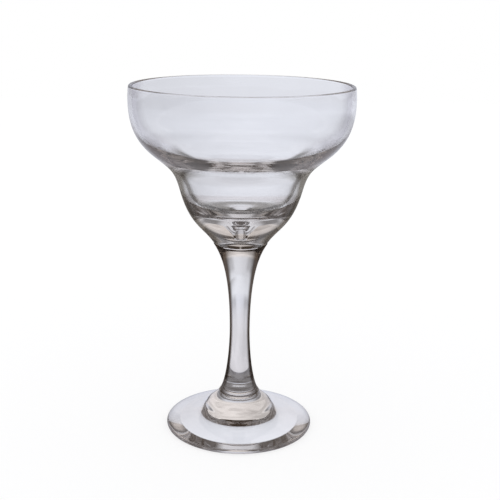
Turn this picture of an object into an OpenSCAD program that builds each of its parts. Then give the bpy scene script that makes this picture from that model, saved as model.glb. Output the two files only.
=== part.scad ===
// Margarita glass: a wide coupe bowl over a narrow lower cup, on a waisted stem and a round foot.
// Three pieces of clear glass are formed apart and fused hot, end to end: bowl, stem and foot.
// The origin is the centre of the circle that the foot stands on, and +Z is the glass's own axis.

/* [Overall] */
// Height of the bowl, from its seam on the stem up to the rim
bowl_h = 80; // [66:1:98]
// Length of the stem between its two seams
stem_h = 81.5; // [60:0.5:100]
// Height of the foot, from the table up to the seam under the stem
foot_h = 18.5; // [15:0.5:23]
// Diameter of the bowl at its widest
bowl_d = 112; // [92:1:136]
// Diameter of the foot
foot_d = 77; // [64:1:94]

/* [Bowl] */
// How far the rim is drawn in, on each side, from the widest diameter
rim_tuck = 0.3; // [0:0.1:1]
// Thickness of the glass at the rim
rim_wall = 2; // [1.4:0.1:2.8]
// Drop from the rim to the widest diameter
belly_drop = 6.6; // [5:0.2:10]
// Thickness of the glass halfway up the flared shoulder
flare_wall = 3.3; // [2.2:0.1:4]
// Outer diameter of the lower cup
cup_d = 62; // [52:1:76]
// Height of the lower cup's side above the seam on the stem
cup_rise = 28; // [23:0.5:34]
// Thickness of the glass round the lower cup
cup_wall = 4; // [2.6:0.1:5]
// Thickness of the solid glass between the inside floor and the seam on the stem
base_h = 16.5; // [13:0.5:18]
// Diameter of the small pit's mouth in the middle of the inside floor
pit_d = 12.4; // [9:0.2:16]
// Diameter of the pit's throat, where its wall is steep
pit_throat_d = 5.5; // [3.6:0.1:7.6]
// Depth of the pit below the inside floor
pit_depth = 7.9; // [5:0.1:9]

/* [Stem] */
// Diameter of the seam between the bowl and the stem
bowl_seam_d = 27.5; // [22:0.5:33]
// Diameter of the stem at its waist
waist_d = 10.4; // [8:0.2:14]
// Height of the waist above the stem's lower seam
waist_rise = 34.5; // [26:0.5:44]
// Diameter of the seam between the stem and the foot
foot_seam_d = 21.2; // [17:0.2:26]

/* [Foot] */
// Diameter of the domed boss that carries the stem
boss_d = 35.4; // [30:0.2:42]
// Height of the boss's lower edge above the table
boss_rise = 10.8; // [9:0.2:12.6]
// Radius of the hollow corner where the boss meets the disc
boss_fillet = 2.2; // [0.8:0.1:3]
// Thickness of the disc at its rounded edge
edge_t = 3; // [2.4:0.1:4]
// Width of the flat ring that the glass stands on
rest_ring_w = 6.5; // [4:0.1:8.5]
// Rise of the hollow underside at its centre
hollow_rise = 3.2; // [2:0.1:4.6]

/* [Seams] */
// Depth of the fine crease round each fused seam
crease = 0.25; // [0.1:0.05:0.5]

/* [Hidden] */

glass_tint = [0.84, 0.85, 0.89];

// Straight steps in each curved stretch of an outline, round a rounded edge and round the axis
stretch_steps = 12;
edge_steps = 8;
turn_steps = 96;

// Heights of the seams, of the rim and of the places between them
top_z = foot_h + stem_h + bowl_h;
bowl_seam_z = foot_h + stem_h;
belly_z = top_z - belly_drop;
cup_z = bowl_seam_z + cup_rise;
floor_z = bowl_seam_z + base_h;
pit_z = floor_z - pit_depth;
waist_z = foot_h + waist_rise;

// Radii of the same places
belly_r = bowl_d / 2;
rim_r = belly_r - rim_tuck;
cup_r = cup_d / 2;
pit_r = pit_d / 2;
throat_r = pit_throat_d / 2;
bowl_seam_r = bowl_seam_d / 2;
waist_r = waist_d / 2;
foot_seam_r = foot_seam_d / 2;
boss_r = boss_d / 2;
rim_round = rim_wall / 2;
edge_round = edge_t / 2;
rest_out_r = foot_d / 2 - edge_round;
rest_in_r = rest_out_r - rest_ring_w;

// The middle of the flared shoulder, on the way from the lower cup to the widest place
flare_out_share = 0.534;
flare_up_share = 0.396;
flare_r = cup_r + flare_out_share * (belly_r - cup_r);
flare_z = cup_z + flare_up_share * (belly_z - cup_z);

// The pit's throat lies this far down it, and the turn of its slope lies between mouth and throat
throat_down_share = 0.57;
slope_out_share = 0.45;
slope_down_share = 0.2;
throat_z = floor_z - throat_down_share * pit_depth;
slope_r = throat_r + slope_out_share * (pit_r - throat_r);
slope_z = floor_z - slope_down_share * pit_depth;

// Lean of an outline from the vertical, in degrees, positive where it widens upwards
rim_lean = -4;
flare_lean = 51;
inner_flare_lean = 60;
cup_lean = 15;
pit_mouth_lean = 76;
pit_slope_lean = 47;
throat_lean = 8;
pit_lean = 90;
bowl_seam_lean = 33;
foot_seam_lean = -42;
boss_lean = -22;
disc_top_lean = -62;
disc_edge_lean = -64;

// How strongly a curve follows the lean on its way up to the next place and down to the last one,
// as shares of the straight distance between the two
rim_pull_shares = [0, 0.33];
belly_pull_shares = [0.33, 0.37];
flare_pull_shares = [0.41, 0.47];
cup_pull_shares = [0.47, 0.58];
inner_cup_pull_shares = [0.47, 0.6];
pit_mouth_pull_shares = [0.4, 0.33];
pit_slope_pull_shares = [0.33, 0.33];
throat_pull_shares = [0.35, 0.5];
pit_pull_shares = [0.55, 0];
bowl_seam_pull_shares = [0.33, 0.15];
waist_pull_shares = [0.63, 0.32];
foot_seam_pull_shares = [0.16, 0.35];
boss_pull_shares = [0.4, 0.4];
disc_pull_shares = [0.45, 0.28];
disc_edge_pull_shares = [0.35, 0];

// A place on an outline: its radius, height and lean, and its two pulls
function place(r, z, lean, pulls) = [r, z, lean, pulls[0], pulls[1]];

function spot(p) = [p[0], p[1]];

function way(lean) = [sin(lean), cos(lean)];

// The place that lies a wall's thickness inside another one, square to its outline
function inside(p, wall, pulls) =
    place(p[0] - wall * cos(p[2]), p[1] + wall * sin(p[2]), p[2], pulls);

// The same place with another lean
function leaning(p, lean) = [p[0], p[1], lean, p[3], p[4]];

function cubic(a, b, c, d, t) =
    pow(1 - t, 3) * a + 3 * pow(1 - t, 2) * t * b + 3 * (1 - t) * pow(t, 2) * c + pow(t, 3) * d;

// Points of the smooth stretch from a lower place to a higher one, without the last
function stretch(low, high) =
    let (apart = norm(spot(high) - spot(low)))
    let (low_pull = spot(low) + low[3] * apart * way(low[2]))
    let (high_pull = spot(high) - high[4] * apart * way(high[2]))
    [for (i = [0:stretch_steps - 1])
        cubic(spot(low), low_pull, high_pull, spot(high), i / stretch_steps)];

// Points of the whole smooth outline through a list of places, from the lowest to the highest
function outline(places) =
    let (last = len(places) - 1)
    [for (k = [0:last - 1]) each stretch(places[k], places[k + 1]), spot(places[last])];

function reversed(points) = [for (i = [len(points) - 1:-1:0]) points[i]];

function arc(middle, radius, from, to) =
    [for (i = [0:edge_steps])
        middle + radius * [cos(from + (to - from) * i / edge_steps),
                           sin(from + (to - from) * i / edge_steps)]];

// The rim's rounded top starts and ends square to the leaning wall
rim_middle = [rim_r - rim_round, top_z - rim_round];
rim_arc = arc(rim_middle, rim_round, -rim_lean, 180 - rim_lean);

belly_place = place(belly_r, belly_z, 0, belly_pull_shares);
flare_place = place(flare_r, flare_z, flare_lean, flare_pull_shares);
cup_place = place(cup_r, cup_z, cup_lean, cup_pull_shares);

bowl_outside = outline([
    place(bowl_seam_r, bowl_seam_z + crease, bowl_seam_lean, bowl_seam_pull_shares),
    cup_place,
    flare_place,
    belly_place,
    place(rim_arc[0][0], rim_arc[0][1], rim_lean, rim_pull_shares)
]);

// From the bottom of the pit in the inside floor up to the rim
bowl_inside = outline([
    place(0, pit_z, pit_lean, pit_pull_shares),
    place(throat_r, throat_z, throat_lean, throat_pull_shares),
    place(slope_r, slope_z, pit_slope_lean, pit_slope_pull_shares),
    place(pit_r, floor_z, pit_mouth_lean, pit_mouth_pull_shares),
    inside(cup_place, cup_wall, inner_cup_pull_shares),
    leaning(inside(flare_place, flare_wall, flare_pull_shares), inner_flare_lean),
    inside(belly_place, rim_wall, belly_pull_shares),
    place(rim_arc[edge_steps][0], rim_arc[edge_steps][1], rim_lean, rim_pull_shares)
]);

stem_outside = outline([
    place(foot_seam_r, foot_h + crease, foot_seam_lean, foot_seam_pull_shares),
    place(waist_r, waist_z, 0, waist_pull_shares),
    place(bowl_seam_r, bowl_seam_z - crease, bowl_seam_lean, bowl_seam_pull_shares)
]);

// The disc's edge is a rounded nose that ends square to the disc's sloping top
edge_arc = arc([rest_out_r, edge_round], edge_round, -90, -disc_edge_lean);

foot_top = outline([
    place(edge_arc[edge_steps][0], edge_arc[edge_steps][1], disc_edge_lean, disc_edge_pull_shares),
    place(boss_r + boss_fillet, boss_rise - boss_fillet, disc_top_lean, disc_pull_shares),
    place(boss_r, boss_rise, boss_lean, boss_pull_shares),
    place(foot_seam_r, foot_h - crease, foot_seam_lean, foot_seam_pull_shares)
]);

// The underside is a shallow ball-shaped hollow inside the ring that the glass stands on
hollow_ball_r = (pow(rest_in_r, 2) + pow(hollow_rise, 2)) / (2 * hollow_rise);
hollow = [for (i = [0:stretch_steps])
    let (r = rest_in_r * i / stretch_steps)
    [r, hollow_rise - hollow_ball_r + sqrt(pow(hollow_ball_r, 2) - pow(r, 2))]];

module turned(points) {
    color(glass_tint)
        rotate_extrude($fn = turn_steps)
            polygon(points);
}

module bowl() {
    turned(concat(
        [[0, bowl_seam_z], [bowl_seam_r - crease, bowl_seam_z]],
        bowl_outside,
        rim_arc,
        reversed(bowl_inside)
    ));
}

module stem() {
    turned(concat(
        [[0, foot_h], [foot_seam_r - crease, foot_h]],
        stem_outside,
        [[bowl_seam_r - crease, bowl_seam_z], [0, bowl_seam_z]]
    ));
}

module foot() {
    turned(concat(
        hollow,
        edge_arc,
        foot_top,
        [[foot_seam_r - crease, foot_h], [0, foot_h]]
    ));
}

bowl();
stem();
foot();
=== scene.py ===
import math

import bpy
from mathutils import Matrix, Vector


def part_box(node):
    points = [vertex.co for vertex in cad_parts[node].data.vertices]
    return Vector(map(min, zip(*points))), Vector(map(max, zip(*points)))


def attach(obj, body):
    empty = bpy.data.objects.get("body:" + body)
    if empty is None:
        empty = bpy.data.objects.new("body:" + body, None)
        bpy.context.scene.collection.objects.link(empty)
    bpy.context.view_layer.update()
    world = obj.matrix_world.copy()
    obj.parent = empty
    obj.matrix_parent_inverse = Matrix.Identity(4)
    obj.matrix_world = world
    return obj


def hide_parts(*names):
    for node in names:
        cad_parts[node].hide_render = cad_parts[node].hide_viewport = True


bl_info = {
    "name": "Margarita glass",
    "version": (1, 0, 0),
    "blender": (4, 5, 0),
    "location": "3D View > Sidebar > Glass",
    "description": "Makes a clear margarita glass from a bowl, a stem and a foot, on a pale studio stage",
    "category": "Add Mesh",
}

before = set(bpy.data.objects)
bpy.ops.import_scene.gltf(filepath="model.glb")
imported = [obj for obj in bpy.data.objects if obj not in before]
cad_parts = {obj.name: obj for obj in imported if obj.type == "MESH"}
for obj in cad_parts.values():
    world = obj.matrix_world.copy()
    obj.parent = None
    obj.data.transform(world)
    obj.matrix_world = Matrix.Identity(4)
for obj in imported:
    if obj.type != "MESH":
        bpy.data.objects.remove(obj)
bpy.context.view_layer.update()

MM = 0.001
BODY = "root"

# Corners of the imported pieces' boxes, which the outlines are built from
BOWL_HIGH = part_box("bowl")[1]
STEM_LOW, STEM_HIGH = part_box("stem")
FOOT_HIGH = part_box("foot")[1]

# Room left between two fused pieces, so that no two faces lie in one place
SEAM_GAP = 0.004 * MM
# A face this near to a seam's height lies in the seam
SEAM_REACH = 4 * SEAM_GAP
# Air between the foot's flat ring and the floor, so that the ring still turns light back
FLOOR_GAP = 0.03 * MM
# Points closer than this are one point, as where an outline meets the axis
WELD = 0.0002 * MM
# Straight steps that one curved stretch of an outline is drawn with
STRETCH_STEPS = 24
# A corner of the outline sharper than this stays a crisp edge
CRISP_ANGLE = math.radians(35)
# How far the waves change from one point of the outline to the next, so that the inside and the outside
# of a wall have waves of their own
WAVE_DRIFT = 0.03
# The soft waves die away over this length towards a seam and towards the axis
CALM = 4 * MM

TURNING = "turn_outline_round_axis"
SEAMS = ("Low seam", "High seam")
WHITE = [1, 1, 1]
# Kinds of node that the trees use often
MATH = "ShaderNodeMath"
WHOLE = "FunctionNodeIntegerMath"
VECTOR = "ShaderNodeVectorMath"
# The sockets of a Mix node that is set to colours
SHARE, FIRST, SECOND, RESULT = 0, 6, 7, 2


def linear(hex_colour):
    """The linear colour, with alpha 1, of an sRGB colour written as RRGGBB."""
    parts = [int(hex_colour[i:i + 2], 16) / 255 for i in (0, 2, 4)]
    return [p / 12.92 if p <= 0.04045 else ((p + 0.055) / 1.055) ** 2.4 for p in parts] + [1.0]


def add_node(tree, kind, inputs=(), **settings):
    """Adds a node with its settings and links, and gives its outputs.

    Inputs are numbers, colours or outputs of other nodes. A list goes by the order of the sockets, and a
    dict by their names or places."""
    node = tree.nodes.new(kind)
    for key, value in settings.items():
        setattr(node, key, value)
    for key, value in inputs.items() if isinstance(inputs, dict) else enumerate(inputs):
        if isinstance(value, bpy.types.NodeSocket):
            tree.links.new(value, node.inputs[key])
        else:
            node.inputs[key].default_value = value
    return node.outputs


def soft_share(tree, *rules, joined="MAXIMUM"):
    """The largest of some rules or, joined by ADD, their sum. A rule is the product of its soft steps.

    A step (measure, start, end, low, high) goes softly from low to high while the measure goes from start
    to end."""
    whole = 0.0
    for rule in rules:
        share = 1.0
        for step in rule:
            here = add_node(tree, "ShaderNodeMapRange", step, interpolation_type="SMOOTHSTEP")[0]
            share = add_node(tree, MATH, [share, here], operation="MULTIPLY")[0]
        whole = add_node(tree, MATH, [whole, share], operation=joined)[0]
    return whole


def length_property(name, description, value):
    """A length in metres."""
    return bpy.props.FloatProperty(
        name=name, description=description, default=value, min=0, unit="LENGTH", subtype="DISTANCE",
        precision=5)


def share_property(name, description, value):
    """A share from 0 to 1."""
    return bpy.props.FloatProperty(
        name=name, description=description, default=value, min=0, max=1, subtype="FACTOR")


def angle_property(name, description, degrees):
    """An angle, given in degrees."""
    return bpy.props.FloatProperty(
        name=name, description=description, default=math.radians(degrees), subtype="ANGLE", unit="ROTATION")


def colour_property(name, description, hex_colour):
    """A colour, given as sRGB hex."""
    return bpy.props.FloatVectorProperty(
        name=name, description=description, default=linear(hex_colour)[:3], size=3, min=0, max=1,
        subtype="COLOR")


class GlassShape(bpy.types.PropertyGroup):
    """Sizes of the glass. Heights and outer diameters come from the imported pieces."""

    bowl_d: length_property("Bowl diameter", "The bowl at its widest", 2 * BOWL_HIGH.x)
    rim_z: length_property("Rim height", "From the table up to the rim", BOWL_HIGH.z)
    bowl_seam_z: length_property("Bowl seam height", "From the table up to the bowl's seam", STEM_HIGH.z)
    bowl_seam_d: length_property("Bowl seam diameter", "The seam between bowl and stem", 2 * STEM_HIGH.x)
    foot_seam_z: length_property("Foot seam height", "From the table up to the foot's seam", STEM_LOW.z)
    foot_seam_d: length_property("Foot seam diameter", "The seam between stem and foot", 21.2 * MM)
    foot_d: length_property("Foot diameter", "The foot at its edge", 2 * FOOT_HIGH.x)
    rim_tuck: length_property("Rim tuck", "How far the rim is drawn in on each side", 0.3 * MM)
    rim_wall: length_property("Rim wall", "Thickness of the glass at the rim", 2 * MM)
    belly_drop: length_property("Belly drop", "From the rim down to the widest place", 6.6 * MM)
    flare_wall: length_property("Shoulder wall", "Thickness halfway up the shoulder", 3.3 * MM)
    cup_d: length_property("Cup diameter", "Outer diameter of the lower cup", 62 * MM)
    cup_rise: length_property("Cup rise", "Height of the lower cup's side above the seam", 28 * MM)
    cup_wall: length_property("Cup wall", "Thickness of the glass round the lower cup", 4 * MM)
    base_h: length_property("Base", "Solid glass between the inside floor and the seam", 16.5 * MM)
    pit_d: length_property("Pit diameter", "The mouth of the small pit in the inside floor", 12.4 * MM)
    pit_throat_d: length_property("Pit throat diameter", "Where the pit's wall is steep", 5.5 * MM)
    pit_depth: length_property("Pit depth", "From the inside floor down to the pit's bottom", 7.9 * MM)
    waist_d: length_property("Waist diameter", "The stem at its waist", 10.4 * MM)
    waist_rise: length_property("Waist rise", "Height of the waist above the lower seam", 34.5 * MM)
    boss_d: length_property("Boss diameter", "The domed boss on the foot", 35.4 * MM)
    boss_rise: length_property("Boss rise", "Height of the boss's lower edge", 10.8 * MM)
    boss_fillet: length_property("Boss fillet", "Hollow corner where boss and disc meet", 2.2 * MM)
    edge_t: length_property("Edge", "Thickness of the disc at its rounded edge", 3 * MM)
    rest_ring_w: length_property("Rest ring", "Width of the flat ring that the glass stands on", 6.5 * MM)
    hollow_rise: length_property("Hollow", "Rise of the underside at its centre", 3.2 * MM)
    crease: length_property("Crease", "Depth of the fine crease round a fused seam", 0.25 * MM)
    wave_h: length_property("Wave height", "Height of the soft waves that forming leaves", 0.02 * MM)
    wave_l: length_property("Wave length", "Length of the soft waves that forming leaves", 18 * MM)
    turn_steps: bpy.props.IntProperty(
        name="Steps round", description="Straight steps round the axis", default=256, min=24, max=360)


class GlassLook(bpy.types.PropertyGroup):
    """Colours and finish of the glass."""

    skin: colour_property("Skin", "What the surface lets through where it is met head on", "FDFDFE")
    # The stem, root, bowl, cup and foot edge colours are painted shade, which darkens the glass where it is
    # met at a slant
    stem_edge_shade: colour_property("Stem edge", "What the stem's surface lets through at a slant", "6B6159")
    root_edge_shade: colour_property("Root edge", "The same for the stem's root, above the foot", "B4AEA8")
    root_low: length_property("Root low", "Height below which the root's edge colour holds", 20 * MM)
    root_high: length_property("Root high", "Height above which the stem's edge colour holds", 27 * MM)
    bowl_edge_shade: colour_property("Bowl edge", "What the bowl's surface lets through at a slant", "EFEEF1")
    cup_edge_shade: colour_property("Cup edge", "The same for the thick lower cup", "969189")
    shoulder_low: length_property("Shoulder low", "Height below which the cup's edge holds", 139 * MM)
    shoulder_high: length_property("Shoulder high", "Height above which the bowl's edge holds", 147 * MM)
    foot_edge_shade: colour_property("Foot edge", "What the foot's surface lets through at a slant", "F0EFF1")
    deep: colour_property("Deep tint", "What is left of white light after the deep length", "E4DFDB")
    deep_length: length_property("Deep length", "Length of glass that gives the deep tint", 50 * MM)
    foot_deep_length: length_property("Foot deep length", "The same for the clearer foot", 85 * MM)
    thin_share: share_property("Thin share", "Share of the deep tint that the thin upper bowl has", 0.2)
    bowl_ripple: length_property("Bowl ripple", "Height of the blown bowl's fine ripples", 0.012 * MM)
    stem_ripple: length_property("Stem ripple", "Height of the drawn stem's fine ripples", 0.02 * MM)
    foot_ripple: length_property("Foot ripple", "Height of the pressed foot's fine ripples", 0.03 * MM)
    ripple_l: length_property("Ripple length", "From one fine ripple to the next", 5 * MM)
    ripple_stretch: bpy.props.FloatProperty(
        name="Ripple stretch", description="How much longer a ripple is round the axis than across",
        default=6.0, min=1)
    roughness: share_property("Roughness", "Roughness of fire-polished glass", 0.0)
    ior: bpy.props.FloatProperty(
        name="IOR", description="Index of refraction of soda-lime glass", default=1.52, min=1, max=2)


class StageLook(bpy.types.PropertyGroup):
    """Colours and sizes of the floor, the surroundings and the camera."""

    floor: colour_property("Floor", "Pale floor", "F4F4F6")
    paper: colour_property("Paper", "The pale floor as the glass shows it", "F2F5FD")
    through: colour_property("Backdrop", "The pale backdrop as the glass shows it", "E6E8EF")
    wall: colour_property("Wall", "The pale wall above the backdrop, as the glass shows it", "FAF5F3")
    dark: colour_property("Unlit room", "What lies at the sides and overhead, in the glass", "3E3227")
    glow: bpy.props.FloatProperty(
        name="Glow", description="Strength of the floor's own light", default=1.05, min=0)
    glow_share: share_property("Glow share", "Share of the floor's look that is its own light", 0.7)
    floor_gloss: share_property("Floor gloss", "Share of the floor in the glass that is a mirror", 0.8)
    floor_roughness: share_property("Floor roughness", "Roughness of that mirror image", 0.15)
    matt_r: length_property("Matt patch", "Radius of the floor that shows no mirror image", 34 * MM)
    umbra_r: length_property("Umbra", "Radius of the darkest floor, under the boss", 27 * MM)
    plate_r: length_property("Plate", "Radius in which the floor is glossy at any slant", 48 * MM)
    gloss_r: length_property("Gloss reach", "How far from the glass the floor is a mirror", 260 * MM)
    cloud_l: length_property("Cloud size", "Width of the soft patches of light on the floor", 250 * MM)
    cloud_depth: share_property("Cloud depth", "How uneven the light on the floor is", 0.03)
    left_fall: share_property("Left fall", "How much less light falls at the left", 0.16)
    right_fall: share_property("Right fall", "How much less light falls far to the right", 0.35)
    far_fall: share_property("Far fall", "How much less light falls far behind the glass", 0.08)
    streak_depth: share_property("Streak depth", "How much darker the streaks of the wall are", 0.24)
    streak_scale: bpy.props.FloatProperty(
        name="Streak scale", description="How fine the streaks of the wall are", default=2.2, min=0)
    streak_stretch: bpy.props.FloatProperty(
        name="Streak stretch", description="How much longer the streaks are than high", default=5.0, min=0)
    bounces: bpy.props.IntProperty(
        name="Bounces", description="How often light may be turned inside the glass", default=96, min=1)
    floor_d: length_property("Floor size", "Width of the floor", 3.0)
    cam_back: length_property("Camera distance", "From the glass's axis to the camera", 466.2 * MM)
    cam_up: length_property("Camera height", "From the table to the camera", 225.5 * MM)
    cam_pitch: angle_property("Camera pitch", "How far the camera looks down", 15.53)
    cam_roll: angle_property("Camera roll", "How far it is turned about its own axis", -0.65)
    frame_px: bpy.props.IntProperty(
        name="Frame", description="Width and height of the picture", default=500, min=1, subtype="PIXEL")
    focal_px: bpy.props.FloatProperty(
        name="Focal length", description="In pixels of that frame", default=943.2, subtype="PIXEL")
    axis_px: bpy.props.FloatProperty(
        name="Axis place", description="Column of the frame that the glass's axis stands on",
        default=243.4, subtype="PIXEL")


# Where the shoulder's middle lies on the way from the lower cup to the widest place
FLARE_OUT_SHARE = 0.534
FLARE_UP_SHARE = 0.396
# Where the pit's throat lies on its way down, and the turn of its slope between mouth and throat
THROAT_DOWN_SHARE = 0.57
SLOPE_OUT_SHARE = 0.45
SLOPE_DOWN_SHARE = 0.2

# Lean of the outline from the vertical in degrees, positive where it widens upwards
LEAN = {
    "rim": -4, "flare": 51, "inner_flare": 60, "cup": 15, "pit_mouth": 76, "pit_slope": 47,
    "throat": 8, "pit": 90, "bowl_seam": 33, "foot_seam": -42, "boss": -22, "disc_top": -62,
    "disc_edge": -64,
}

# How strongly the curve follows the lean on its way up and on its way down, as shares of the
# straight distance to the next place
PULL_SHARES = {
    "rim": (0, 0.33), "belly": (0.33, 0.37), "flare": (0.41, 0.47), "cup": (0.47, 0.58),
    "inner_cup": (0.47, 0.6), "pit_mouth": (0.4, 0.33), "pit_slope": (0.33, 0.33), "throat": (0.35, 0.5),
    "pit": (0.55, 0), "bowl_seam": (0.33, 0.15), "waist": (0.63, 0.32), "foot_seam": (0.16, 0.35),
    "boss": (0.4, 0.4), "disc_top": (0.45, 0.28), "disc_edge": (0.35, 0),
}


class Place:
    """A place on an outline: radius, height, lean in degrees and its pulls up and down."""

    def __init__(self, r, z, lean, pulls):
        self.at = Vector((r, 0, z))
        self.lean = math.radians(lean)
        self.up, self.down = PULL_SHARES[pulls]

    def way(self):
        """The direction of the outline here, on its way up."""
        return Vector((math.sin(self.lean), 0, math.cos(self.lean)))

    def leaning(self, lean):
        """This place with another lean, in degrees."""
        self.lean = math.radians(lean)
        return self

    def inside(self, wall, pulls):
        """The place a wall's thickness inside this one, square to its outline."""
        r = self.at.x - wall * math.cos(self.lean)
        z = self.at.z + wall * math.sin(self.lean)
        return Place(r, z, math.degrees(self.lean), pulls)


class Outline:
    """Half of a piece's section as a Bezier curve, where each point has a left and a right handle."""

    def __init__(self):
        self.points = []

    def _add(self, left, at, right):
        """Adds a point. Where it lies on the last point, the two become one."""
        if self.points and (self.points[-1][1] - at).length < WELD:
            left = self.points.pop()[0]
        self.points.append([left, at, right])

    def corner(self, r, z):
        """A corner with no curve on either side."""
        at = Vector((r, 0, z))
        self._add(at, at, at)
        return self

    def curve(self, places):
        """A smooth run through places, given in the order of the outline, upwards or downwards."""
        for k, place in enumerate(places):
            before = places[k - 1] if k else None
            after = places[k + 1] if k + 1 < len(places) else None
            self._add(self._handle(place, before), place.at, self._handle(place, after))
        return self

    @staticmethod
    def _handle(place, other):
        """The handle of a place on the side of its neighbour."""
        if other is None:
            return place.at.copy()
        apart = (other.at - place.at).length
        if other.at.z > place.at.z:
            return place.at + place.way() * place.up * apart
        return place.at - place.way() * place.down * apart

    def arc(self, r, z, radius, start, end, parts=2):
        """A round run about (r, z) from one angle to another, in degrees."""
        step = math.radians(end - start) / parts
        pull = 4 / 3 * math.tan(step / 4) * radius
        for k in range(parts + 1):
            a = math.radians(start) + k * step
            at = Vector((r + radius * math.cos(a), 0, z + radius * math.sin(a)))
            way = Vector((-math.sin(a), 0, math.cos(a))) * pull
            self._add(at - way if k else at, at, at + way if k < parts else at)
        return self

    def make(self, name):
        """The outline as a curve object, from the axis round to the axis."""
        data = bpy.data.curves.new(name, "CURVE")
        data.dimensions = "3D"
        data.resolution_u = STRETCH_STEPS
        spline = data.splines.new("BEZIER")
        spline.bezier_points.add(len(self.points) - 1)
        for point, (left, at, right) in zip(spline.bezier_points, self.points):
            point.handle_left_type = point.handle_right_type = "FREE"
            point.co, point.handle_left, point.handle_right = at, left, right
        curve = bpy.data.objects.new(name, data)
        bpy.context.scene.collection.objects.link(curve)
        return curve


def turning_tree():
    """A tree that turns an outline round the axis, gives it soft waves and sets its materials."""
    tree = bpy.data.node_groups.new(TURNING, "GeometryNodeTree")
    face = tree.interface
    face.new_socket("Outline", in_out="INPUT", socket_type="NodeSocketGeometry")
    for name, kind in (
            ("Steps round", "Int"), ("Wave height", "Float"), ("Wave length", "Float"),
            ("Low seam", "Float"), ("High seam", "Float"), ("Calm", "Float"),
            ("Glass", "Material"), ("Fused seam", "Material")):
        face.new_socket(name, in_out="INPUT", socket_type="NodeSocket" + kind)
    face.new_socket("Piece", in_out="OUTPUT", socket_type="NodeSocketGeometry")
    given = add_node(tree, "NodeGroupInput")
    steps = given["Steps round"]
    place = add_node(tree, "GeometryNodeInputPosition")[0]

    # The outline's points, as one chain of edges, and a sheet with a column of them for each step round
    chain = add_node(tree, "GeometryNodeCurveToMesh", {"Curve": given["Outline"]})["Mesh"]
    count = add_node(
        tree, "GeometryNodeAttributeDomainSize", {"Geometry": chain}, component="MESH")["Point Count"]
    columns = add_node(tree, WHOLE, [steps, 1], operation="ADD")[0]
    sheet = add_node(tree, "GeometryNodeMeshGrid", {"Vertices X": columns, "Vertices Y": count})["Mesh"]
    index = add_node(tree, "GeometryNodeInputIndex")[0]
    row = add_node(tree, WHOLE, [index, count], operation="MODULO")[0]
    column = add_node(tree, WHOLE, [index, count], operation="DIVIDE_FLOOR")[0]
    # The last column lands on the first to the last bit, so that the sheet closes
    column = add_node(tree, WHOLE, [column, steps], operation="MODULO")[0]
    turn = add_node(tree, MATH, [column, steps], operation="DIVIDE")[0]
    turn = add_node(tree, MATH, [turn, math.tau], operation="MULTIPLY")[0]
    across = add_node(tree, MATH, [turn], operation="COSINE")[0]
    back = add_node(tree, MATH, [turn], operation="SINE")[0]
    around = add_node(tree, "ShaderNodeCombineXYZ", [across, back])[0]
    sample = add_node(
        tree, "GeometryNodeSampleIndex", {"Geometry": chain, "Value": place, "Index": row},
        data_type="FLOAT_VECTOR", domain="POINT")[0]
    at = add_node(tree, "ShaderNodeSeparateXYZ", [sample])
    out = add_node(tree, VECTOR, {0: around, "Scale": at["X"]}, operation="SCALE")[0]
    up = add_node(tree, "ShaderNodeCombineXYZ", {"Z": at["Z"]})[0]
    spot = add_node(tree, VECTOR, [out, up], operation="ADD")[0]

    # Soft waves push the glass in and out from the axis, and die away at the seams and at the axis
    scale = add_node(tree, MATH, [1.0, given["Wave length"]], operation="DIVIDE")[0]
    scaled = add_node(tree, VECTOR, {0: spot, "Scale": scale}, operation="SCALE")[0]
    drift = add_node(tree, MATH, [row, WAVE_DRIFT], operation="MULTIPLY")[0]
    noise = add_node(
        tree, "ShaderNodeTexNoise",
        {"Vector": scaled, "W": drift, "Scale": 1.0, "Detail": 1.0, "Roughness": 0.4},
        noise_dimensions="4D")[0]
    swing = add_node(tree, MATH, [noise, 0.5], operation="SUBTRACT")[0]
    height = add_node(tree, MATH, [given["Wave height"], 2.0], operation="MULTIPLY")[0]
    wave = add_node(tree, MATH, [swing, height], operation="MULTIPLY")[0]
    away = []
    for seam in SEAMS:
        above = add_node(tree, MATH, [at["Z"], given[seam]], operation="SUBTRACT")[0]
        away.append(add_node(tree, MATH, [above], operation="ABSOLUTE")[0])
    for distance in (*away, at["X"]):
        share = add_node(tree, MATH, [distance, given["Calm"]], operation="DIVIDE", use_clamp=True)[0]
        wave = add_node(tree, MATH, [wave, share], operation="MULTIPLY")[0]
    push = add_node(tree, VECTOR, {0: around, "Scale": wave}, operation="SCALE")[0]
    spot = add_node(tree, VECTOR, [spot, push], operation="ADD")[0]

    turned = add_node(tree, "GeometryNodeSetPosition", {"Geometry": sheet, "Position": spot})[0]
    welded = add_node(tree, "GeometryNodeMergeByDistance", {"Geometry": turned, "Distance": WELD})[0]
    smooth = add_node(
        tree, "GeometryNodeSetShadeSmooth", {0: welded, "Shade Smooth": True}, domain="FACE")[0]
    bend = add_node(tree, "GeometryNodeInputMeshEdgeAngle")["Unsigned Angle"]
    crisp = add_node(tree, MATH, [bend, CRISP_ANGLE], operation="GREATER_THAN")[0]
    shaded = add_node(
        tree, "GeometryNodeSetShadeSmooth", {0: smooth, "Selection": crisp, "Shade Smooth": False},
        domain="EDGE")[0]

    # A face that lies in a seam belongs to the fused joint
    height = add_node(tree, "ShaderNodeSeparateXYZ", [place])["Z"]
    low, high = [
        add_node(tree, MATH, [height, given[seam], SEAM_REACH], operation="COMPARE")[0] for seam in SEAMS]
    in_seam = add_node(tree, MATH, [low, high], operation="MAXIMUM")[0]
    real = add_node(tree, "GeometryNodeRealizeInstances", [shaded])[0]
    glass = add_node(tree, "GeometryNodeSetMaterial", {"Geometry": real, "Material": given["Glass"]})[0]
    fused = add_node(
        tree, "GeometryNodeSetMaterial",
        {"Geometry": glass, "Selection": in_seam, "Material": given["Fused seam"]})[0]
    add_node(tree, "NodeGroupOutput", {"Piece": fused})
    return tree


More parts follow.
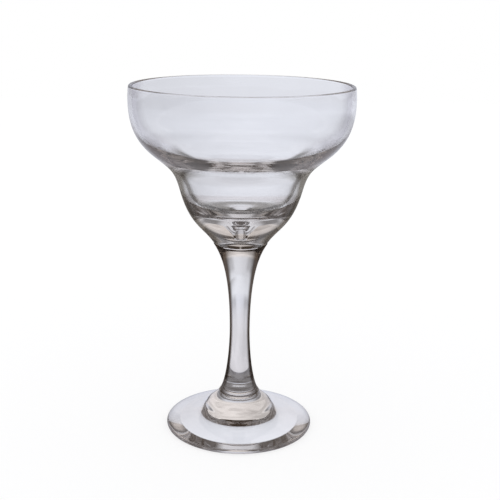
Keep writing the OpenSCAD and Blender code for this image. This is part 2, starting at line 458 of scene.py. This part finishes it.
def turn_piece(name, node, outline, low_seam, high_seam, glass):
    """Turns an outline into the finished piece that stands for a CAD node.

    A piece with one seam gives its height as the low and as the high one."""
    shape = bpy.context.scene.glass_shape
    curve = outline.make(name + "_outline")
    tree = bpy.data.node_groups.get(TURNING) or turning_tree()
    modifier = curve.modifiers.new("Turning", "NODES")
    modifier.node_group = tree
    given = {
        "Steps round": shape.turn_steps, "Wave height": shape.wave_h, "Wave length": shape.wave_l,
        "Low seam": low_seam, "High seam": high_seam, "Calm": CALM,
        "Glass": glass, "Fused seam": fused_seam(),
    }
    for socket in tree.interface.items_tree:
        if socket.in_out == "INPUT" and socket.name in given:
            modifier[socket.identifier] = given[socket.name]
    done = curve.evaluated_get(bpy.context.evaluated_depsgraph_get())
    mesh = bpy.data.meshes.new_from_object(done)
    mesh.name = name
    curve.modifiers.remove(modifier)
    bpy.data.objects.remove(curve)
    piece = bpy.data.objects.new(name, mesh)
    bpy.context.scene.collection.objects.link(piece)
    if len(mesh.polygons) == 0:
        raise RuntimeError(f"{name} came out empty")
    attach(piece, BODY)
    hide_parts(node)


# Where the colour at a slant starts and where it holds, as Layer Weight's Facing: 0 is head on
# On the bowl, stem and foot that colour is painted shade; the fused seam keeps it white
BOWL_SLANT = (0.52, 0.72)
STEM_SLANT = (0.27, 0.5)
FOOT_SLANT = (0.28, 0.62)
SEAM_SLANT = (0.4, 0.6)
# For a piece whose colour at a slant is the same at every height
ANY_HEIGHT = (0, 1)


class Finish:
    """How a piece's glass looks: its colour at a slant, which is painted shade, and the tint and ripples
    that its making left.
    """

    def __init__(self, low_edge_shade, edge, heights, slant, deep_length, ripple=None):
        """At a slant the glass is darkened by a painted shade, the low one below the two heights, which
        goes over into the other between them.
        """
        self.low_edge_shade = [*low_edge_shade, 1]
        self.edge = [*edge, 1]
        self.heights = heights
        self.slant = slant
        self.deep_length = deep_length
        self.ripple = ripple


def glass_colour(tree, finish):
    """What a surface of the glass lets through: less at a slant, and less the longer light ran inside.

    The slanted part is painted shade, which stands for the dark lines that thick glass shows along its
    edges."""
    look = bpy.context.scene.glass_look
    place = add_node(tree, "ShaderNodeTexCoord")["Object"]
    height = add_node(tree, "ShaderNodeSeparateXYZ", [place])["Z"]
    high_up = soft_share(tree, [(height, *finish.heights, 0, 1)])
    # The painted shade at a slant, which goes from one colour to the other between two heights
    edge = add_node(
        tree, "ShaderNodeMix", {SHARE: high_up, FIRST: finish.low_edge_shade, SECOND: finish.edge},
        data_type="RGBA")[RESULT]
    facing = add_node(tree, "ShaderNodeLayerWeight", {"Blend": 0.5})["Facing"]
    slanted = soft_share(tree, [(facing, *finish.slant, 0, 1)])
    # The glass's own colour head on, darkened where it is met at a slant by that painted shade
    skin = add_node(
        tree, "ShaderNodeMix", {SHARE: slanted, FIRST: [*look.skin, 1], SECOND: edge},
        data_type="RGBA")[RESULT]
    # The way through the glass, in deep lengths, of which the thin upper bowl counts only a share
    run = add_node(tree, "ShaderNodeLightPath")["Ray Length"]
    lengths = add_node(tree, MATH, [run, finish.deep_length], operation="DIVIDE")[0]
    counted = soft_share(tree, [(height, look.shoulder_low, look.shoulder_high, 1, look.thin_share)])
    lengths = add_node(tree, MATH, [lengths, counted], operation="MULTIPLY")[0]
    left = [add_node(tree, MATH, [share, lengths], operation="POWER")[0] for share in look.deep]
    deep = add_node(tree, "ShaderNodeCombineColor", left)[0]
    leaving = add_node(tree, "ShaderNodeNewGeometry")["Backfacing"]
    return add_node(
        tree, "ShaderNodeMix", {SHARE: leaving, FIRST: skin, SECOND: deep}, data_type="RGBA")[RESULT]


def rippled(tree, ripple):
    """The surface's normal, tilted by fine ripples that run round the axis, as the making leaves them.

    Real ripples are lower and closer. They are drawn as coarse as they need to be to show."""
    look = bpy.context.scene.glass_look
    place = add_node(tree, "ShaderNodeTexCoord")["Object"]
    x, y, z = add_node(tree, "ShaderNodeSeparateXYZ", [place])
    flat = add_node(tree, "ShaderNodeCombineXYZ", [x, y])[0]
    radius = add_node(tree, VECTOR, [flat], operation="LENGTH")["Value"]
    along = add_node(tree, MATH, [radius, z], operation="ADD")[0]
    spot = add_node(tree, "ShaderNodeCombineXYZ", [x, y, along])[0]
    wide = look.ripple_l * look.ripple_stretch
    spot = add_node(tree, VECTOR, [spot, [wide, wide, look.ripple_l]], operation="DIVIDE")[0]
    noise = add_node(
        tree, "ShaderNodeTexNoise", {"Vector": spot, "Scale": 1.0, "Detail": 1.0, "Roughness": 0.4})[0]
    return add_node(tree, "ShaderNodeBump", {"Strength": 1.0, "Distance": ripple, "Height": noise})[0]


def glass_material(name, finish, ior, roughness):
    """The material of that name, which is made the first time it is asked for."""
    made = bpy.data.materials.get(name)
    if made:
        return made
    made = bpy.data.materials.new(name)
    made.use_nodes = True
    tree = made.node_tree
    tree.nodes.clear()
    given = {"Color": glass_colour(tree, finish), "Roughness": roughness, "IOR": ior}
    if finish.ripple:
        given["Normal"] = rippled(tree, finish.ripple)
    shader = add_node(tree, "ShaderNodeBsdfGlass", given)[0]
    add_node(tree, "ShaderNodeOutputMaterial", {"Surface": shader})
    return made


def soda_lime_glass(making, finish):
    """Clear soda-lime glass: glossy, pale where it is thin, and a little warm and dark where light runs
    far in it."""
    look = bpy.context.scene.glass_look
    return glass_material("soda_lime_glass_" + making, finish, look.ior, look.roughness)


def fused_seam():
    """The inside of a joint that was fused hot. Glass lies on both sides, so light goes straight on."""
    look = bpy.context.scene.glass_look
    clear = Finish(WHITE, WHITE, ANY_HEIGHT, SEAM_SLANT, look.deep_length)
    return glass_material("fused_joint_inside", clear, ior=1.0, roughness=0.0)


class GLASS_OT_bowl(bpy.types.Operator):
    """Makes the bowl: wide coupe, shoulder, lower cup and solid base"""

    bl_idname = "glass.bowl"
    bl_label = "Make the bowl"

    def execute(self, context):
        s = context.scene.glass_shape
        belly = Place(s.bowl_d / 2, s.rim_z - s.belly_drop, 0, "belly")
        cup = Place(s.cup_d / 2, s.bowl_seam_z + s.cup_rise, LEAN["cup"], "cup")
        flare = Place(
            cup.at.x + FLARE_OUT_SHARE * (belly.at.x - cup.at.x),
            cup.at.z + FLARE_UP_SHARE * (belly.at.z - cup.at.z), LEAN["flare"], "flare")
        rim_round = s.rim_wall / 2
        rim_mid = Vector((s.bowl_d / 2 - s.rim_tuck - rim_round, 0, s.rim_z - rim_round))
        side = math.radians(-LEAN["rim"])
        off = Vector((math.cos(side), 0, math.sin(side))) * rim_round
        outer_rim = Place(rim_mid.x + off.x, rim_mid.z + off.z, LEAN["rim"], "rim")
        inner_rim = Place(rim_mid.x - off.x, rim_mid.z - off.z, LEAN["rim"], "rim")
        seam_r, throat_r = s.bowl_seam_d / 2, s.pit_throat_d / 2
        floor_z = s.bowl_seam_z + s.base_h
        low = s.bowl_seam_z + SEAM_GAP / 2
        outline = Outline()
        outline.corner(0, low).corner(seam_r - s.crease, low)
        above_crease = Place(seam_r, s.bowl_seam_z + s.crease, LEAN["bowl_seam"], "bowl_seam")
        outline.curve([above_crease, cup, flare, belly, outer_rim])
        outline.arc(rim_mid.x, rim_mid.z, rim_round, -LEAN["rim"], 180 - LEAN["rim"])
        outline.curve([
            inner_rim,
            belly.inside(s.rim_wall, "belly"),
            flare.inside(s.flare_wall, "flare").leaning(LEAN["inner_flare"]),
            cup.inside(s.cup_wall, "inner_cup"),
            Place(s.pit_d / 2, floor_z, LEAN["pit_mouth"], "pit_mouth"),
            Place(
                throat_r + SLOPE_OUT_SHARE * (s.pit_d / 2 - throat_r),
                floor_z - SLOPE_DOWN_SHARE * s.pit_depth, LEAN["pit_slope"], "pit_slope"),
            Place(throat_r, floor_z - THROAT_DOWN_SHARE * s.pit_depth, LEAN["throat"], "throat"),
            Place(0, floor_z - s.pit_depth, LEAN["pit"], "pit"),
        ])
        look = context.scene.glass_look
        # Blown into a mould: bright and even, almost without colour in the thin wall. Round the thick cup a
        # warm grey painted shade darkens it where it is met at a slant
        finish = Finish(
            look.cup_edge_shade, look.bowl_edge_shade, (look.shoulder_low, look.shoulder_high), BOWL_SLANT,
            look.deep_length, look.bowl_ripple)
        glass = soda_lime_glass("blown_bowl", finish)
        turn_piece("glass_bowl", "bowl", outline, low, low, glass)
        return {"FINISHED"}


class GLASS_OT_stem(bpy.types.Operator):
    """Makes the solid waisted stem"""

    bl_idname = "glass.stem"
    bl_label = "Make the stem"

    def execute(self, context):
        s = context.scene.glass_shape
        low, high = s.foot_seam_z + SEAM_GAP / 2, s.bowl_seam_z - SEAM_GAP / 2
        outline = Outline()
        outline.corner(0, low).corner(s.foot_seam_d / 2 - s.crease, low)
        outline.curve([
            Place(s.foot_seam_d / 2, s.foot_seam_z + s.crease, LEAN["foot_seam"], "foot_seam"),
            Place(s.waist_d / 2, s.foot_seam_z + s.waist_rise, 0, "waist"),
            Place(s.bowl_seam_d / 2, s.bowl_seam_z - s.crease, LEAN["bowl_seam"], "bowl_seam"),
        ])
        outline.corner(s.bowl_seam_d / 2 - s.crease, high).corner(0, high)
        look = context.scene.glass_look
        # Drawn out hot, with long ripples. The two dark warm lines beside its bright core are painted shade
        # at a slant, which the ripples make uneven
        finish = Finish(
            look.root_edge_shade, look.stem_edge_shade, (look.root_low, look.root_high), STEM_SLANT,
            look.deep_length, look.stem_ripple)
        glass = soda_lime_glass("drawn_stem", finish)
        turn_piece("glass_stem", "stem", outline, low, high, glass)
        return {"FINISHED"}


class GLASS_OT_foot(bpy.types.Operator):
    """Makes the foot: disc, domed boss, rounded edge and hollow underside"""

    bl_idname = "glass.foot"
    bl_label = "Make the foot"

    def execute(self, context):
        s = context.scene.glass_shape
        edge_round = s.edge_t / 2
        rest_out = s.foot_d / 2 - edge_round
        rest_in = rest_out - s.rest_ring_w
        ball = (rest_in ** 2 + s.hollow_rise ** 2) / (2 * s.hollow_rise)
        half_angle = math.degrees(math.asin(rest_in / ball))
        high = s.foot_seam_z - SEAM_GAP / 2
        outline = Outline()
        outline.arc(0, s.hollow_rise - ball, ball, 90, 90 - half_angle)
        outline.arc(rest_out, edge_round, edge_round, -90, -LEAN["disc_edge"])
        tip = outline.points[-1][1]
        outline.curve([
            Place(tip.x, tip.z, LEAN["disc_edge"], "disc_edge"),
            Place(s.boss_d / 2 + s.boss_fillet, s.boss_rise - s.boss_fillet, LEAN["disc_top"], "disc_top"),
            Place(s.boss_d / 2, s.boss_rise, LEAN["boss"], "boss"),
            Place(s.foot_seam_d / 2, s.foot_seam_z - s.crease, LEAN["foot_seam"], "foot_seam"),
        ])
        outline.corner(s.foot_seam_d / 2 - s.crease, high).corner(0, high)
        look = context.scene.glass_look
        # Pressed, so its ripples are the highest: they break up the bright and dark bands in the disc. At a
        # slant it takes a faint painted shade
        finish = Finish(
            look.foot_edge_shade, look.foot_edge_shade, ANY_HEIGHT, FOOT_SLANT,
            look.foot_deep_length, look.foot_ripple)
        glass = soda_lime_glass("pressed_foot", finish)
        turn_piece("glass_foot", "foot", outline, high, high, glass)
        return {"FINISHED"}


def bent_light(tree):
    """1 for light that reaches the eye through the glass or by its gloss, and 0 for the rest."""
    rays = add_node(tree, "ShaderNodeLightPath")
    return add_node(
        tree, MATH, [rays["Is Transmission Ray"], rays["Is Glossy Ray"]], operation="MAXIMUM")[0]


# In the next two functions turns is Ray Depth, so how often light was turned on its way: 2 straight
# through the foot's disc, mostly 3 through the boss, 4 through both walls of the bowl, and 1 more for the
# mirror image in the floor. A higher count means that light was thrown to and fro inside thick glass, as
# in the cup or the base.


def pale_floor(look):
    """Matt pale studio paper: no texture shows at this distance, and the glass's soft shadow falls on it.

    In the glass it is lit unevenly, darker under and beside the foot, and holds a soft mirror image."""
    made = bpy.data.materials.new("pale_studio_paper")
    made.use_nodes = True
    tree = made.node_tree
    tree.nodes.clear()
    matt = add_node(tree, "ShaderNodeBsdfDiffuse", {"Color": [*look.floor, 1]})[0]
    glow = add_node(tree, "ShaderNodeEmission", {"Color": [*WHITE, 1], "Strength": look.glow})[0]
    seen = add_node(tree, "ShaderNodeMixShader", [look.glow_share, matt, glow])[0]

    place = add_node(tree, "ShaderNodeTexCoord")["Object"]
    clouds = add_node(
        tree, "ShaderNodeTexNoise",
        {"Vector": place, "Scale": 1 / look.cloud_l, "Detail": 2.0, "Roughness": 0.5})[0]
    across = add_node(tree, "ShaderNodeSeparateXYZ", [place])["X"]
    apart = add_node(tree, VECTOR, [place], operation="LENGTH")["Value"]
    sideways = add_node(tree, MATH, [across], operation="ABSOLUTE")[0]
    sideways = add_node(tree, MATH, [sideways, apart], operation="DIVIDE")[0]
    facing = add_node(tree, "ShaderNodeLayerWeight", {"Blend": 0.5})["Facing"]
    turns = add_node(tree, "ShaderNodeLightPath")["Ray Depth"]

    # Distances are in metres. It is a mirror round the foot, and farther out where it is met at a slant
    near_foot = (apart, look.plate_r, 1.3 * look.plate_r, 1, 0)
    at_slant = (facing, 0.34, 0.4, 0, 1)
    beside_foot = (apart, look.matt_r, 1.2 * look.matt_r, 0, 1)
    in_reach = (apart, look.gloss_r, 1.5 * look.gloss_r, look.floor_gloss, 0)
    gloss = soft_share(tree, [near_foot, beside_foot, in_reach], [at_slant, beside_foot, in_reach])

    # Less light falls in soft patches, at the left, far away and, not too far away, at the right
    in_patch = (clouds, 0.3, 0.7, 0, look.cloud_depth)
    at_left = (across, -0.25, 0.1, look.left_fall, 0)
    far_away = (apart, 0.9, 1.4, 0, look.far_fall)
    at_right = (across, 0.08, 0.4, 0, look.right_fall)
    not_far = (apart, 0.8, 1.2, 1, 0)
    dim = soft_share(tree, [in_patch], [at_left], [far_away], [at_right, not_far], joined="ADD")

    # Almost none falls under the boss, which the paper's sheen hides at a slant, and under the bowl. Light
    # that was turned often also shows the dark at both sides
    under_boss = (apart, 0.6 * look.umbra_r, look.umbra_r, 1, 0)
    head_on = (facing, 0.08, 0.2, 0.9, 0)
    under_bowl = (apart, 48 * MM, 58 * MM, 0.8, 0)
    not_by_disc = (turns, 2.1, 3.0, 0, 1)
    to_side = (sideways, 0.85, 0.96, 0, 0.9)
    by_cup = (turns, 4.2, 5.6, 0, 1)
    hidden = soft_share(tree, [under_boss, head_on], [under_bowl, not_by_disc], [to_side, by_cup])

    shade = add_node(tree, MATH, [dim, hidden], operation="MAXIMUM")[0]
    paper = add_node(
        tree, "ShaderNodeMix", {SHARE: shade, FIRST: [*look.paper, 1], SECOND: [*look.dark, 1]},
        data_type="RGBA")[RESULT]
    lit = add_node(tree, "ShaderNodeEmission", {"Color": paper, "Strength": 1.0})[0]
    sheen = add_node(
        tree, "ShaderNodeBsdfGlossy", {"Color": [*look.paper, 1], "Roughness": look.floor_roughness})[0]
    through = add_node(tree, "ShaderNodeMixShader", [gloss, lit, sheen])[0]
    both = add_node(tree, "ShaderNodeMixShader", [bent_light(tree), seen, through])[0]
    add_node(tree, "ShaderNodeOutputMaterial", {"Surface": both})
    return made


def studio_world(look):
    """Surroundings: white to the camera and the floor. In the glass, a pale backdrop and a pale wall behind
    it, and the dark of an unlit room at the sides, in front and overhead."""
    world = bpy.data.worlds.new("studio")
    bpy.context.scene.world = world
    world.use_nodes = True
    tree = world.node_tree
    tree.nodes.clear()
    white = add_node(tree, "ShaderNodeBackground", {"Color": [*WHITE, 1], "Strength": 1.0})[0]

    # Rise is in degrees above the horizon, and side in degrees away from straight behind the glass
    way = add_node(tree, "ShaderNodeTexCoord")["Generated"]
    x, y, z = add_node(tree, "ShaderNodeSeparateXYZ", [way])
    rise = add_node(tree, MATH, [z], operation="ARCSINE")[0]
    rise = add_node(tree, MATH, [rise], operation="DEGREES")[0]
    side = add_node(tree, MATH, [x], operation="ABSOLUTE")[0]
    side = add_node(tree, MATH, [side, y], operation="ARCTAN2")[0]
    side = add_node(tree, MATH, [side], operation="DEGREES")[0]
    turns = add_node(tree, "ShaderNodeLightPath")["Ray Depth"]

    # The wall stands above the backdrop and has long faint streaks, and both are dimmer at the left
    dark = [*look.dark, 1]
    wall = soft_share(tree, [(rise, 11, 20, 0, 1)])
    colour = add_node(
        tree, "ShaderNodeMix", {SHARE: wall, FIRST: [*look.through, 1], SECOND: [*look.wall, 1]},
        data_type="RGBA")[RESULT]
    drawn = add_node(tree, VECTOR, [way, [1, 1, look.streak_stretch]], operation="MULTIPLY")[0]
    streaks = add_node(
        tree, "ShaderNodeTexNoise",
        {"Vector": drawn, "Scale": look.streak_scale, "Detail": 3.0, "Roughness": 0.55})[0]
    in_streak = (streaks, 0.4, 0.62, 0, 1)
    on_wall = (rise, 13, 22, 0, look.streak_depth)
    at_left = (x, -0.25, 0.1, look.left_fall, 0)
    dim = soft_share(tree, [in_streak, on_wall], [at_left], joined="ADD")
    colour = add_node(
        tree, "ShaderNodeMix", {SHARE: dim, FIRST: colour, SECOND: dark}, data_type="RGBA")[RESULT]

    # The room's sides are dark, less so in front
    at_side = (side, 45, 62, 0, 1)
    toward_front = (side, 125, 150, 1, 0.6)
    above_low = (rise, 8, 30, 0, 1)
    by_base = (turns, 5.5, 7.5, 0, 0.75)
    # Seen by the cup they reach further in. The dark strip on the horizon isn't seen by the disc
    beside_backdrop = (side, 10, 22, 0, 1)
    by_cup = (turns, 4.2, 5.6, 0, 0.9)
    strip = ((rise, -3, 2, 0, 1), (rise, 12, 18, 1, 0), (side, 10, 20, 0, 0.7), (side, 32, 44, 1, 0))
    not_by_disc = (turns, 2.5, 3.5, 0, 1)
    sides = soft_share(
        tree, [at_side, above_low, toward_front], [at_side, by_base, toward_front],
        [beside_backdrop, by_cup, toward_front], [*strip, not_by_disc])
    # Light that was turned most often is spared their nearer part
    lighter = soft_share(tree, [(turns, 6, 7, 0, 0.75), (side, 70, 85, 1, 0), (side, 30, 42, 0, 1)])
    # Overhead it is dark as well, but not straight up where light was turned only a few times
    overhead = soft_share(tree, [(rise, 38, 44, 0, 1), (turns, 2.0, 3.5, 0.3, 1)])
    straight_up = soft_share(tree, [(rise, 60, 70, 0, 1), (turns, 3.5, 5.0, 1, 0)])
    room = []
    for shown, spared in ((sides, lighter), (overhead, straight_up)):
        kept = add_node(tree, MATH, [1.0, spared], operation="SUBTRACT")[0]
        room.append(add_node(tree, MATH, [shown, kept], operation="MULTIPLY")[0])
    room = add_node(tree, MATH, room, operation="MAXIMUM")[0]
    colour = add_node(
        tree, "ShaderNodeMix", {SHARE: room, FIRST: colour, SECOND: dark}, data_type="RGBA")[RESULT]
    studio = add_node(tree, "ShaderNodeBackground", {"Color": colour, "Strength": 1.0})[0]
    both = add_node(tree, "ShaderNodeMixShader", [bent_light(tree), white, studio])[0]
    add_node(tree, "ShaderNodeOutputWorld", {"Surface": both})


class GLASS_OT_stage(bpy.types.Operator):
    """Makes the pale floor, the studio's surroundings and the camera"""

    bl_idname = "glass.stage"
    bl_label = "Make the stage"

    def execute(self, context):
        scene = context.scene
        look = scene.stage_look
        half, low = look.floor_d / 2, -FLOOR_GAP
        mesh = bpy.data.meshes.new("floor")
        corners = [(-half, -half, low), (half, -half, low), (half, half, low), (-half, half, low)]
        mesh.from_pydata(corners, [], [(0, 1, 2, 3)])
        mesh.materials.append(pale_floor(look))
        floor = bpy.data.objects.new("floor", mesh)
        scene.collection.objects.link(floor)
        studio_world(look)
        # Light that runs inside a thick wall of glass is turned back many times before it leaves
        cycles = scene.cycles
        cycles.max_bounces = cycles.transmission_bounces = cycles.glossy_bounces = look.bounces
        scene.view_settings.view_transform = "Standard"

        lens = bpy.data.cameras.new("camera")
        lens.lens = lens.sensor_width * look.focal_px / look.frame_px
        lens.shift_x = (look.frame_px / 2 - look.axis_px) / look.frame_px
        camera = bpy.data.objects.new("camera", lens)
        camera.location = (0, -look.cam_back, look.cam_up)
        camera.rotation_euler = (math.pi / 2 - look.cam_pitch, look.cam_roll, 0)
        scene.collection.objects.link(camera)
        scene.camera = camera
        return {"FINISHED"}


class GLASS_PT_panel(bpy.types.Panel):
    """Lists what can be made"""

    bl_idname = "GLASS_PT_panel"
    bl_label = "Margarita glass"
    bl_space_type = "VIEW_3D"
    bl_region_type = "UI"
    bl_category = "Glass"

    def draw(self, context):
        for operator in OPERATORS:
            self.layout.operator(operator.bl_idname)
        for group in (context.scene.glass_shape, context.scene.glass_look, context.scene.stage_look):
            box = self.layout.box()
            for name in group.__annotations__:
                box.prop(group, name)


OPERATORS = (GLASS_OT_bowl, GLASS_OT_stem, GLASS_OT_foot, GLASS_OT_stage)
CLASSES = (GlassShape, GlassLook, StageLook, *OPERATORS, GLASS_PT_panel)


def register():
    for cls in CLASSES:
        bpy.utils.register_class(cls)
    bpy.types.Scene.glass_shape = bpy.props.PointerProperty(type=GlassShape)
    bpy.types.Scene.glass_look = bpy.props.PointerProperty(type=GlassLook)
    bpy.types.Scene.stage_look = bpy.props.PointerProperty(type=StageLook)


def unregister():
    del bpy.types.Scene.glass_shape, bpy.types.Scene.glass_look, bpy.types.Scene.stage_look
    for cls in reversed(CLASSES):
        bpy.utils.unregister_class(cls)


def main():
    register()
    bpy.ops.glass.stage()
    bpy.ops.glass.bowl()
    bpy.ops.glass.stem()
    bpy.ops.glass.foot()


if __name__ == "__main__":
    main()
